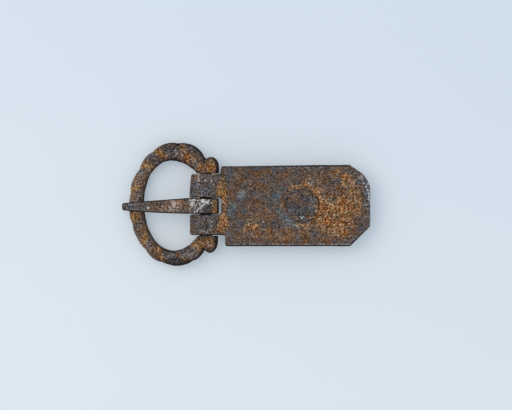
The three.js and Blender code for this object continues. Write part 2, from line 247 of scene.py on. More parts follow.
# the frame: roped ring, knobs and bar
rope = {
    "halfHeight": 14.5,
    "halfLength": 10.5,
    "centre": (-8.28, 0.27),
    "width": 4.3,
    "thickness": 3.7,
    "grooveDepth": 0.46,
    "grooveCurve": 0.6,
    "innerShare": 0.2,  # how deep the grooves still are on the inner side
    "lead": 0.1,
    "firstAngle": 24.5,
    "widthShares": [  # angle and share of the width
        (48, 1.08), (57, 1.24), (68, 1.31), (76, 1.28), (92, 1.19), (104, 1.1), (116, 0.99), (126, 0.97),
        (142, 0.83), (158, 0.96), (200, 0.98), (214, 0.91), (232, 0.9), (250, 0.94), (262, 0.94), (276, 1.01),
        (286, 1.05), (296, 1.07), (306, 1.0), (318, 0.9),
    ],
    "pulls": [  # angle and how far the rope is pulled in
        (66, 0), (78, 0.12), (96, 0.1), (106, 0), (116, -0.12), (130, -0.06), (141, -0.08), (152, 0),
        (163, -0.16), (176, 0), (204, 0), (214, 0.1), (226, 0), (250, 0), (262, 0.08), (276, 0.08),
        (287, 0.03), (298, 0.1), (308, 0.2), (318, 0.2), (330, 0.1),
    ],
    "grooveAngles": [52, 87, 118.7, 142.3, 169, 199.6, 229.9, 254, 291.4, 312],
    "sides": 40,
    "steps": 220,
    "armsFrom": -5.5,
    "upperRecess": 8.76,
    "lowerRecess": 8.11,
    "barRadius": 1.6,
    "barLanding": 0.6,
    "knobHalfLength": 2.2,
    "knobHalfHeight": 2.05,
    "upperKnob": {"offset": 1.42, "rise": 1.75, "dome": 2.7},
    "lowerKnob": {"offset": 1.15, "rise": 1.42, "dome": 3.2},
    "droop": math.radians(4.717),
    "grain": 0.125,
    "smoothing": 3,
    "dents": [("frameDents", 3.0, 0.16, 2, ""), ("frameScale", 0.7, 0.12, 2, "")],
    "relief": (10, 0.12),
    "rustyFrom": (-0.5, 2.5),
    "darkSide": ((0.8, -0.3), -1.0, 0.2),
    "lightLeft": (9, 13, 0.45),  # the painted shade of the outline fades by this share on the left, which faces the light
}


def grooveOf(angle, around):  # up to 1 in the bottom of a groove, for places along and round the rope
    grooves = np.array(rope["grooveAngles"])
    place = np.clip(np.searchsorted(grooves, angle, side="right") - 1, 0, len(grooves) - 2)
    passed = place + (angle - grooves[place]) / (grooves[place + 1] - grooves[place])
    lead = around / (2 * math.pi) + rope["lead"] * (1 - (1 + np.cos(around)) / 2)
    return 1 - np.abs(np.sin(math.pi * (passed + lead))) ** rope["grooveCurve"]


def ropedRing():
    centreX, centreY = rope["centre"]
    radius, height = rope["halfLength"], rope["halfHeight"]
    first = math.radians(rope["firstAngle"])
    bpy.ops.mesh.primitive_circle_add(
        vertices=rope["sides"], radius=rope["width"] / 2, fill_type="NOTHING",
        location=(centreX + radius * math.cos(first), centreY + radius * math.sin(first), 0),
        rotation=(math.pi / 2, 0, first),
    )
    ring = added("ring")
    editStart(ring, "SELECT")
    bpy.ops.mesh.spin(
        steps=rope["steps"], angle=2 * math.pi - 2 * first, center=(centreX, centreY, 0), axis=(0, 0, -1)
    )
    editEnd()
    # drawn out to the oval and twisted: every point keeps its place along and around the rope
    at = points(ring.data)
    outX, outY = at[:, 0] - centreX, at[:, 1] - centreY
    angle = np.degrees(np.arctan2(outY, outX)) % 360
    around = np.arctan2(at[:, 2], np.hypot(outX, outY) - radius) % (2 * math.pi)
    fade = rope["innerShare"] + (1 - rope["innerShare"]) * ((1 + np.cos(around)) / 2)
    cut = grooveOf(angle, around) * fade * rope["grooveDepth"]
    turn = np.radians(angle)
    normal = np.stack([np.cos(turn) / radius, np.sin(turn) / height])
    normal /= np.hypot(*normal)
    share, pulled = (np.interp(angle, *np.array(rope[key]).T) for key in ("widthShares", "pulls"))
    out = (rope["width"] / 2 * share - cut) * np.cos(around) - pulled
    at[:, 0] = centreX + radius * np.cos(turn) + normal[0] * out
    at[:, 1] = centreY + height * np.sin(turn) + normal[1] * out
    at[:, 2] = (rope["thickness"] / 2 - cut) * np.sin(around)
    movedTo(ring.data, at)
    # the arms end flat, where the knuckles of the plate turn against them
    editStart(ring)
    for side, recess in ((1, rope["upperRecess"]), (-1, rope["lowerRecess"])):
        cutOff(
            ring, (0, side * recess, 0), (0, -side, 0), lambda p: p.x > rope["armsFrom"] and p.y * side > 0
        )
    bpy.ops.mesh.select_all(action="SELECT")
    bpy.ops.mesh.fill_holes(sides=0)
    editEnd()
    outward(ring)
    return ring


def knobAt(recess, side, sizes):
    foot = side * recess
    shoulder = foot + side * sizes["rise"]
    bpy.ops.mesh.primitive_uv_sphere_add(
        segments=rope["sides"], ring_count=rope["sides"] // 2, radius=1,
        location=(sizes["offset"], shoulder, 0),
    )
    knob = added("knob", (rope["knobHalfLength"], sizes["dome"], rope["knobHalfHeight"]))
    editStart(knob)
    cutOff(knob, (0, shoulder, 0), (0, -side, 0))
    picked(knob, "VERT", lambda p: abs(p.y - shoulder) < samePlace)
    extrudeBy((0, foot - shoulder, 0))
    bpy.ops.mesh.edge_face_add()
    editEnd()
    outward(knob)
    return knob


def forgedFrame():
    upper, lower = rope["upperRecess"], rope["lowerRecess"]
    shapes = [ropedRing(), knobAt(upper, 1, rope["upperKnob"]), knobAt(lower, -1, rope["lowerKnob"])]
    bpy.ops.mesh.primitive_cylinder_add(
        vertices=rope["sides"], radius=rope["barRadius"], depth=upper + lower + 2 * rope["barLanding"],
        location=(0, (upper - lower) / 2, 0), rotation=(math.pi / 2, 0, 0),
    )
    forged = joined([*shapes, added("bar")], "ropedFrame")
    grained(forged, rope)
    hammered(forged, rope)
    # rust lies in the grooves, so each point keeps how deep in a groove it is
    at = points(forged.data)
    radius, height = rope["halfLength"], rope["halfHeight"]
    outX, outY = at[:, 0] - rope["centre"][0], at[:, 1] - rope["centre"][1]
    angle = np.degrees(np.arctan2(outY / height, outX / radius)) % 360
    turn = np.radians(angle)
    out = np.hypot(outX, outY) - np.hypot(radius * np.cos(turn), height * np.sin(turn))
    groove = grooveOf(angle, np.arctan2(at[:, 2], out) % (2 * math.pi))
    marked(forged.data, "groove", groove * ramp(-at[:, 0], *rope["rustyFrom"]))
    marked(forged.data, "relief", reliefOf(forged.data, *rope["relief"]))
    # the slope is painted shade on the ring's outline, lighter on its left, which faces the light
    start, end, share = rope["lightLeft"]
    lightness = 1 - share * ramp(-at[:, 0], start, end)
    marked(forged.data, "slope", slopeOf(forged.data, rope["darkSide"]) * lightness)
    intoFrame(forged, rope["droop"])
    return forged


# the tongue: a strip bent round the bar, tapering to a drooped tip
strip = {
    "innerRadius": 1.9,
    "thickness": 1.53,
    "rootUpper": 2.04,
    "rootLower": -2.2,
    "seamAngle": math.radians(149.5),
    "turnSteps": 40,
    "waist": -3.35,
    "waistCurve": 3,
    "eyeReach": 1.044,
    "tip": -22.536,
    "ringReach": 18.486,
    "seat": 2.15,
    "seatTop": 3.4,
    "swellTop": 3.6,
    "tipUnderside": 0.9,
    "tipTop": 1.95,
    "upperEdge": (2.15, 1.52, 0.68),
    "lowerEdge": (-2.16, -2.08, -1.25),
    "steps": 40,
    "filed": (0.3, 1, 40),
    "grain": 0.085,
    "smoothing": 3,
    "dents": [("tongueDents", 2.2, 0.12, 2, ""), ("tongueScale", 0.5, 0.07, 2, "")],
    "relief": (14, 0.1),
    "darkSide": ((0.4, -0.2), -1.2, 0.1),
    "eyeLight": (-1.5, 0.5, 0.6),  # the round of the eye counts as flat by this share, so it takes less painted shade
}


def stripSection(x):  # top, underside, upper and lower edge at a place along the strip
    reach = strip["ringReach"]
    if x < -reach:
        share = (-x - reach) / (-strip["tip"] - reach)
        top = bow((strip["seatTop"], strip["seatTop"], strip["tipTop"]), share)
        under = bow((strip["seat"], strip["seat"], strip["tipUnderside"]), share)
    else:
        full = strip["innerRadius"] + strip["thickness"]
        top = bow((strip["seatTop"], strip["swellTop"], strip["swellTop"], full), (x + reach) / reach)
        under = strip["seat"] + (strip["innerRadius"] - strip["seat"]) * (x + reach) / reach
    along = max(0.0, (x - strip["waist"]) / (strip["tip"] - strip["waist"]))
    upper, lower = bow(strip["upperEdge"], along), bow(strip["lowerEdge"], along)
    if x > strip["waist"]:
        share = (x / strip["waist"]) ** strip["waistCurve"]
        upper = strip["rootUpper"] + (upper - strip["rootUpper"]) * share
        lower = strip["rootLower"] + (lower - strip["rootLower"]) * share
    return top, under, upper, lower


def forgedTongue():
    seam = strip["seamAngle"]
    radius = strip["innerRadius"] + strip["thickness"] / 2
    upper, lower = strip["rootUpper"], strip["rootLower"]
    bpy.ops.mesh.primitive_plane_add(
        size=1, location=(radius * math.cos(seam), (upper + lower) / 2, radius * math.sin(seam)),
        rotation=(0, -seam, 0),
    )
    tongue = added("ironTongue", (strip["thickness"], upper - lower, 1))
    # round the bar to its top, and on from there as a straight strip
    editStart(tongue, "SELECT")
    bpy.ops.mesh.spin(steps=strip["turnSteps"], angle=2.5 * math.pi - seam, center=(0, 0, 0), axis=(0, 1, 0))
    picked(tongue, "VERT", lambda p: p.x > near)
    bpy.ops.transform.resize(value=(strip["eyeReach"], 1, 1), center_override=(0, 0, 0))
    picked(tongue, "VERT", lambda p: abs(p.x) < near and p.z > 0)
    x, top, under = 0.0, radius + strip["thickness"] / 2, strip["innerRadius"]
    for i in range(1, strip["steps"] + 1):
        newX = strip["tip"] * i / strip["steps"]
        newTop, newUnder, newUpper, newLower = stripSection(newX)
        sideways, up = (newUpper + newLower - upper - lower) / 2, (newTop + newUnder - top - under) / 2
        extrudeBy((newX - x, sideways, up))
        growth = (1, (newUpper - newLower) / (upper - lower), (newTop - newUnder) / (top - under))
        centre = (newX, (newUpper + newLower) / 2, (newTop + newUnder) / 2)
        bpy.ops.transform.resize(value=growth, center_override=centre)
        x, top, under, upper, lower = newX, newTop, newUnder, newUpper, newLower
    editEnd()
    outward(tongue)
    filed(tongue, *strip["filed"])
    grained(tongue, strip)
    hammered(tongue, strip)
    marked(tongue.data, "relief", reliefOf(tongue.data, *strip["relief"]))
    start, end, share = strip["eyeLight"]
    alongX = 1 - share * ramp(points(tongue.data)[:, 0], start, end)
    # the slope is painted shade on the tongue's outline
    marked(tongue.data, "slope", slopeOf(tongue.data, strip["darkSide"], alongX))
    intoFrame(tongue, rope["droop"])
    return tongue


# the plate: one sheet folded round the bar, with knuckles, slot and cut corners
sheet = {
    "thickness": 1.2,
    "halfWidth": 13.0,  # before the edges are cut
    "foldCentre": -0.57,
    "foldRadius": 3.4,
    "foldSteps": 24,
    "frontTop": 5.4,
    "bend": (2.0, 5.2),
    "bendSteps": 12,
    "knuckleGrowth": 1.09,
    "length": 44.42,
    "spare": 1,
    "upperShoulder": 4.04,
    "lowerShoulder": 5.25,
    "slotUpper": 2.18,
    "slotLower": 2.34,
    "slotEnd": 4.28,
    "slotLean": math.radians(26),
    "leanFrom": 4.85,
    "knuckleCorner": 0.3,
    "upperKnuckle": 8.575,
    "lowerKnuckle": 7.925,
    "upperHingeEdge": 10.65,
    "upperStrapEdge": 11.1,
    "lowerEdge": 10.93,
    "upperCut": (38.8, 4.9),
    "upperBulge": (43.2, 9.2),
    "bulgeSteps": 6,
    "lowerCut": (39.0, 5.25),
    "knuckleSlant": (-0.18, 0.36),
    "flatAlong": (3.8, 5.2),
    "flatAcross": (8.2, 9.2),
    "flatAbove": (3.6, 3.9),
    "flatStart": 3.5,
    "shoulderDrop": 0.3,
    "filed": (0.42, 2, 50),
    "holeRadius": 1.6,
    "sinkRadius": 2.5,
    "holeSides": 48,
    "boreLength": 6,
    "rivetPlace": 26.1,
    "grain": 0.215,
    "smoothing": 5,
    "crustMiddle": (34.5, -1.0),
    "crustReach": (8.0, 8.5),
    "crustAbove": (4.6, 5.2),
    "dents": [
        ("plateDents", 6.0, 0.2, 2, ""),
        ("plateScale", 0.8, 0.09, 2, ""),
        ("plateCrust", 1.0, 0.3, 3, "crust"),
    ],
    "relief": (10, 0.14),
    "darkSide": ((0, -1), 0.1, 0.9),
    "bendFrom": (1.0, 2.0),
    "bendTo": (5.8, 6.6),
    "foldTo": (-1.5, 0.0),
    "slotRim": (3.5, 2.9),
    "facing": {"leaf": (0.2, 0.6), "bend": (0.6, 0.75), "rim": (0.25, 0.4)},  # how far a face looks up
    "sideRelief": 0.4,  # share of the relief that the upright faces keep
    "foldTilt": 0.45,  # share of its tilt along x that the fold goes without, in the painted shade of the outline
    "rimSlope": 0.7,  # share of its slope, the painted shade of the outline, that the slot's rim goes without
    "evening": 3,
}


def foldedStrip():
    start, end, radius = sheet["foldCentre"], sheet["length"] + sheet["spare"], sheet["foldRadius"]
    bpy.ops.mesh.primitive_plane_add(size=1, location=((start + end) / 2, 0, 0))
    skin = added("foldedSheet", (end - start, 2 * sheet["halfWidth"], 1))
    editStart(skin)
    picked(skin, "VERT", lambda p: p.x < start + near)
    bpy.ops.mesh.spin(steps=sheet["foldSteps"], angle=math.pi, center=(start, 0, radius), axis=(0, -1, 0))
    picked(skin, "VERT", lambda p: p.x < start - near)
    bpy.ops.transform.resize(value=(sheet["knuckleGrowth"], 1, 1), center_override=(start, 0, radius))
    picked(skin, "VERT", lambda p: abs(p.x - start) < near and p.z > radius)
    bendStart, bendEnd = sheet["bend"]
    middle, top, front = (bendStart + bendEnd) / 2, 2 * radius, sheet["frontTop"]
    extrudeBy((bendStart - start, 0, 0))
    x, z = bendStart, top
    for i in range(1, sheet["bendSteps"] + 1):
        share = i / sheet["bendSteps"]
        newX, newZ = bow((bendStart, middle, middle, bendEnd), share), bow((top, top, front, front), share)
        extrudeBy((newX - x, 0, newZ - z))
        x, z = newX, newZ
    extrudeBy((end - bendEnd, 0, 0))
    editEnd()
    return skin


def cutSheet(skin):  # the sloping upper edge, the straight lower edge, the strap end and its two corners
    length, upper, lower = sheet["length"], sheet["upperStrapEdge"], sheet["lowerEdge"]
    (cutX, cutY), (bulgeX, bulgeY), (lowX, lowY) = sheet["upperCut"], sheet["upperBulge"], sheet["lowerCut"]
    rise = (upper - sheet["upperHingeEdge"]) / (cutX - sheet["upperShoulder"])
    editStart(skin)
    cutOff(skin, (length, 0, 0), (1, 0, 0))
    cutOff(skin, (sheet["upperShoulder"], sheet["upperHingeEdge"], 0), (-rise, 1, 0))
    cutOff(skin, (0, -lower, 0), (0, -1, 0))
    cutOff(skin, (lowX, -lower, 0), (lower - lowY, lowX - length, 0))
    shares = [i / sheet["bulgeSteps"] for i in range(sheet["bulgeSteps"] + 1)]
    corner = [(bow((cutX, bulgeX, length), share), bow((upper, bulgeY, cutY), share)) for share in shares]
    for (oneX, oneY), (twoX, twoY) in zip(corner, corner[1:]):
        cutOff(skin, (oneX, oneY, 0), (oneY - twoY, twoX - oneX, 0))
    editEnd()


def cutHinge(skin):  # shoulders beside the knuckles, and the slot for the tongue
    before, wide, below, above = -6, 14, -1, 8  # well clear of the sheet
    slotLow, slotHigh = -sheet["slotLower"], sheet["slotUpper"]
    sawn(skin, (before, sheet["upperKnuckle"], below), (sheet["upperShoulder"], wide, above))
    sawn(skin, (before, -wide, below), (sheet["lowerShoulder"], -sheet["lowerKnuckle"], above))
    sawn(skin, (before, slotLow, below), (sheet["slotEnd"], slotHigh, above))
    # the end of the slot is filed back at the top, so that the tongue can lean over it
    lean, width, height = sheet["slotLean"], 2, 4
    x = sheet["slotEnd"] + height / 2 * math.sin(lean) - width / 2 * math.cos(lean)
    z = sheet["leanFrom"] + height / 2 * math.cos(lean) + width / 2 * math.sin(lean)
    low, high = (x - width / 2, slotLow, z - height / 2), (x + width / 2, slotHigh, z + height / 2)
    sawn(skin, low, high, lean=lean)
    # the knuckles lose their corners where they turn over
    cornerX = sheet["foldCentre"] - sheet["foldRadius"] * sheet["knuckleGrowth"]
    half = 2
    off = half - sheet["knuckleCorner"]
    for cornerY, side in ((sheet["upperKnuckle"], 1), (-sheet["lowerKnuckle"], -1)):
        x, y = cornerX - off * math.sqrt(0.5), cornerY + side * off * math.sqrt(0.5)
        sawn(skin, (x - half, y - half, below), (x + half, y + half, above), math.radians(45))


def rivetHole():  # a sink in the back leaf and a bore through both
    place, radius, thickness = sheet["rivetPlace"], sheet["sinkRadius"], sheet["thickness"]
    bpy.ops.mesh.primitive_circle_add(
        vertices=sheet["holeSides"], radius=radius, fill_type="NGON", location=(place, 0, -1)
    )
    hole = added("hole")
    editStart(hole, "SELECT")
    extrudeBy((0, 0, 1))
    extrudeBy((0, 0, thickness))
    share = sheet["holeRadius"] / radius
    bpy.ops.transform.resize(value=(share, share, 1), center_override=(place, 0, thickness))
    extrudeBy((0, 0, sheet["boreLength"]))
    editEnd()
    outward(hole)
    return hole


def forgedPlate():
    skin = foldedStrip()
    cutSheet(skin)
    outward(skin)
    front = [face for face in skin.data.polygons if face.center.z > sheet["foldRadius"]]
    if sum(face.normal.z * face.area for face in front) < 0:
        editStart(skin, "SELECT")
        bpy.ops.mesh.flip_normals()
        editEnd()
    applied(skin, "SOLIDIFY", thickness=sheet["thickness"], offset=-1)
    cutHinge(skin)
    filed(skin, *sheet["filed"])
    takenOut(skin, rivetHole())
    grained(skin, sheet)
    # the upper knuckle's round edge runs back a little towards its shoulder
    at = points(skin.data)
    reach = np.clip((sheet["foldCentre"] - at[:, 0]) / (sheet["foldRadius"] * sheet["knuckleGrowth"]), 0, 1)
    upwards = np.clip((at[:, 1] - sheet["slotUpper"]) / (sheet["upperKnuckle"] - sheet["slotUpper"]), 0, 1)
    at[:, 0] += reach * np.interp(upwards, (0, 1), sheet["knuckleSlant"]) * (at[:, 1] > 0)
    # and the upper shoulder is beaten flat, though it starts within the bend
    shoulder = (1 - ramp(at[:, 0], *sheet["flatAlong"])) * ramp(at[:, 1], *sheet["flatAcross"])
    shoulder *= ramp(at[:, 2], *sheet["flatAbove"])
    at[:, 2] -= sheet["shoulderDrop"] * shoulder * (at[:, 0] > sheet["flatStart"])
    movedTo(skin.data, at)
    (middleX, middleY), (reachX, reachY) = sheet["crustMiddle"], sheet["crustReach"]
    crust = np.exp(-(((at[:, 0] - middleX) / reachX) ** 2 + ((at[:, 1] - middleY) / reachY) ** 2) ** 2)
    weighted(skin, "crust", np.clip(crust * ramp(at[:, 2], *sheet["crustAbove"]), 0, 1))
    hammered(skin, sheet)
    # the dark outline, which is painted shade, keeps to the edges, and leaves the bend, the fold and the slot
    # alone
    x, y, _ = points(skin.data).T
    upright = np.abs(points(skin.data, "normal")[:, 2])
    bend = ramp(x, *sheet["bendFrom"]) * (1 - ramp(x, *sheet["bendTo"]))
    fold = 1 - ramp(x, *sheet["foldTo"])
    facing = {label: ramp(upright, *limits) for label, limits in sheet["facing"].items()}
    onFace = sheet["sideRelief"] + (1 - sheet["sideRelief"]) * facing["leaf"]
    rimX, rimY = sheet["slotRim"]
    slotEdge = (x < rimX) & (y > 0) & (y < rimY)
    relief = reliefOf(skin.data, *sheet["relief"]) * (1 - bend * facing["bend"]) * onFace
    marked(skin.data, "relief", evened(skin.data, relief, sheet["evening"]))
    slope = slopeOf(skin.data, sheet["darkSide"], (1 - bend) * (1 - sheet["foldTilt"] * fold))
    slope = slope * (1 - sheet["rimSlope"] * slotEdge * facing["rim"])
    marked(skin.data, "slope", evened(skin.data, slope, sheet["evening"]))
    intoFrame(skin, height=0)
    return skin


# the rivet: spread tail, shank and low head
nail = {
    "sides": 64,
    "tailRadius": 2.3,
    "tailRise": 0.02,
    "shankRadius": 1.45,
    "headRadius": 4.3,
    "headSeat": 5.4,
    "rim": 0.3,
    "crown": 0.4,
    "crownSteps": 8,
    "grain": 0.1,
    "smoothing": 3,
    "dents": [("rivetDents", 2.4, 0.22, 2, ""), ("rivetScale", 0.6, 0.07, 2, "")],
    "relief": (14, 0.1),
    "darkSide": ((0.5, -0.6), -0.9, 0.3),
}


def forgedRivet():
    place, height, radius = sheet["rivetPlace"], nail["tailRise"], nail["tailRadius"]
    shank, head, seat = nail["shankRadius"], nail["headRadius"], nail["headSeat"]
    bpy.ops.mesh.primitive_circle_add(
        vertices=nail["sides"], radius=radius, fill_type="NGON", location=(place, 0, height)
    )
    rivet = added("forgedRivet")
    editStart(rivet, "SELECT")
    stations = [(sheet["thickness"], shank), (seat, shank), (seat, head), (seat + nail["rim"], head)]
    for i in range(1, nail["crownSteps"]):
        turn = i / nail["crownSteps"] * math.pi / 2
        stations.append((seat + nail["rim"] + nail["crown"] * math.sin(turn), head * math.cos(turn)))
    for newHeight, newRadius in stations:
        extrudeBy((0, 0, newHeight - height))
        share = newRadius / radius
        bpy.ops.transform.resize(value=(share, share, 1), center_override=(place, 0, newHeight))
        height, radius = newHeight, newRadius
    editEnd()
    outward(rivet)
    grained(rivet, nail)
    hammered(rivet, nail)
    marked(rivet.data, "relief", reliefOf(rivet.data, *nail["relief"]))
    # the slope is painted shade on the head's outline
    marked(rivet.data, "slope", slopeOf(rivet.data, nail["darkSide"]))
    intoFrame(rivet, height=0)
    return rivet


# finishes
def screen(red, green, blue):  # screen colour, 0 to 255, as plain shares of one
    return (red / 255, green / 255, blue / 255, 1)


def tone(red, green, blue):  # screen colour as the shader wants it
    def linear(part):
        return part / 12.92 if part <= 0.04045 else ((part + 0.055) / 1.055) ** 2.4
    return (*(linear(part) for part in screen(red, green, blue)[:3]), 1)


def node(tree, kind, values=None, **settings):
    made = tree.nodes.new("ShaderNode" + kind)
    for key, value in settings.items():
        setattr(made, key, value)
    for key, value in (values or {}).items():
        if isinstance(value, bpy.types.NodeSocket):
            tree.links.new(value, made.inputs[key])
        else:
            made.inputs[key].default_value = value
    return made


def sum2(tree, operation, one, other=0.0, clamp=False):
    return node(tree, "Math", {0: one, 1: other}, operation=operation, use_clamp=clamp).outputs[0]


def plus(tree, one, other, clamp=False):
    return sum2(tree, "ADD", one, other, clamp)


def minus(tree, one, other, clamp=False):
    return sum2(tree, "SUBTRACT", one, other, clamp)


def times(tree, one, other, clamp=False):
    return sum2(tree, "MULTIPLY", one, other, clamp)


def most(tree, one, other):
    return sum2(tree, "MAXIMUM", one, other)


def swing(tree, field, amount):  # a field from 0 to 1 as so much less or more
    return times(tree, minus(tree, field, 0.5), amount)


def vector2(tree, operation, one, other):
    return node(tree, "VectorMath", {0: one, 1: other}, operation=operation).outputs[0]


def scaled(tree, one, amount):
    return node(tree, "VectorMath", {0: one, "Scale": amount}, operation="SCALE").outputs[0]


def planLength(tree, offset):  # how far off in plan, at any height
    flat = vector2(tree, "MULTIPLY", offset, (1, 1, 0))
    return node(tree, "VectorMath", {0: flat}, operation="LENGTH").outputs["Value"]


def axisOf(tree, place, axis):
    return node(tree, "SeparateXYZ", {0: place}).outputs[axis]


def attributeOf(tree, name):
    return node(tree, "Attribute", attribute_name=name).outputs["Fac"]


def between(tree, value, low, high, toLow=0.0, toHigh=1.0):
    ends = {"Value": value, "From Min": low, "From Max": high, "To Min": toLow, "To Max": toHigh}
    return node(tree, "MapRange", ends, interpolation_type="SMOOTHSTEP").outputs["Result"]


def mixed(tree, share, one, other):
    return node(tree, "Mix", {0: share, 6: one, 7: other}, data_type="RGBA").outputs[2]


def noise(tree, place, scale, detail, rough, offset):
    values = {"Vector": place, "Scale": scale, "Detail": detail, "Roughness": rough, "W": offset}
    return node(tree, "TexNoise", values, noise_dimensions="4D").outputs["Fac"]


def newGroup(name, inputs, outputs):  # a socket's kind shows in its value: a number, a vector or a colour
    group = bpy.data.node_groups.new(name, "ShaderNodeTree")
    kinds = {1: "NodeSocketFloat", 3: "NodeSocketVector", 4: "NodeSocketColor"}
    for side, sockets in (("INPUT", inputs), ("OUTPUT", outputs)):
        for label, value in sockets.items():
            socket = group.interface.new_socket(name=label, in_out=side, socket_type=kinds[np.size(value)])
            socket.default_value = value
    return group, group.nodes.new("NodeGroupInput").outputs, group.nodes.new("NodeGroupOutput").inputs


def grouped(tree, group, values):
    return node(tree, "Group", values, node_tree=group).outputs


def raggedPlaceGroup():  # pushes places about, so that patches get broken edges
    group, given, result = newGroup("raggedPlace", {"Place": (0, 0, 0), "Ragged": 1.0}, {"Place": (0, 0, 0)})
    pushed = given["Place"]
    for scale, size in ((0.45, 2.2), (1.6, 1.1)):
        field = node(group, "TexNoise", {"Vector": given["Place"], "Scale": scale, "Detail": 2.0})
        centred = vector2(group, "SUBTRACT", field.outputs["Color"], (0.5, 0.5, 0.5))
        pushed = vector2(group, "ADD", pushed, scaled(group, centred, times(group, given["Ragged"], size)))
    group.links.new(pushed, result["Place"])
    return group


def patchGroup():  # an oval patch on the front, full in the middle
    group, given, result = newGroup(
        "patch",
        {"Place": (0, 0, 0), "Centre": (0, 0, 0), "Reach": (1, 1, 1), "Soft": 0.6, "Strength": 1.0},
        {"Mask": 0.0},
    )
    away = vector2(group, "SUBTRACT", given["Place"], given["Centre"])
    far = planLength(group, vector2(group, "DIVIDE", away, given["Reach"]))
    inner, outer = minus(group, 1.0, given["Soft"]), plus(group, 1.0, given["Soft"])
    mask = between(group, far, inner, outer, 1.0, 0.0)
    group.links.new(times(group, mask, given["Strength"]), result["Mask"])
    return group


ironTones = {  # mixed as the screen shows them
    "grey": screen(85, 82, 85),
    "gold": screen(120, 94, 60),
    "orange": screen(137, 91, 54),
    "brown": screen(112, 82, 61),
    "bluish": screen(90, 98, 101),
    "hueSwing": (0.22, 0.02, -0.2),
    "darkest": (0.1, 0.08, 0.07),
    "darkMix": (screen(22, 15, 12), screen(53, 38, 30)),
    "bright": screen(205, 203, 201),
    "dimming": 0.925,  # what the light in the room brings up again
}
ironFields = {  # scale, detail, roughness and offset of each noise
    "broad": (0.3, 2, 0.5, 1.0),
    "cloudy": (0.42, 2, 0.5, 6.0),
    "middle": (0.8, 2, 0.55, 2.0),
    "fine": (1.8, 2, 0.6, 3.0),
    "grit": (2.6, 1, 0.5, 4.0),
    "hue": (0.65, 1, 0.5, 21.0),
    "fleck": (1.9, 0, 0.5, 9.0),
}


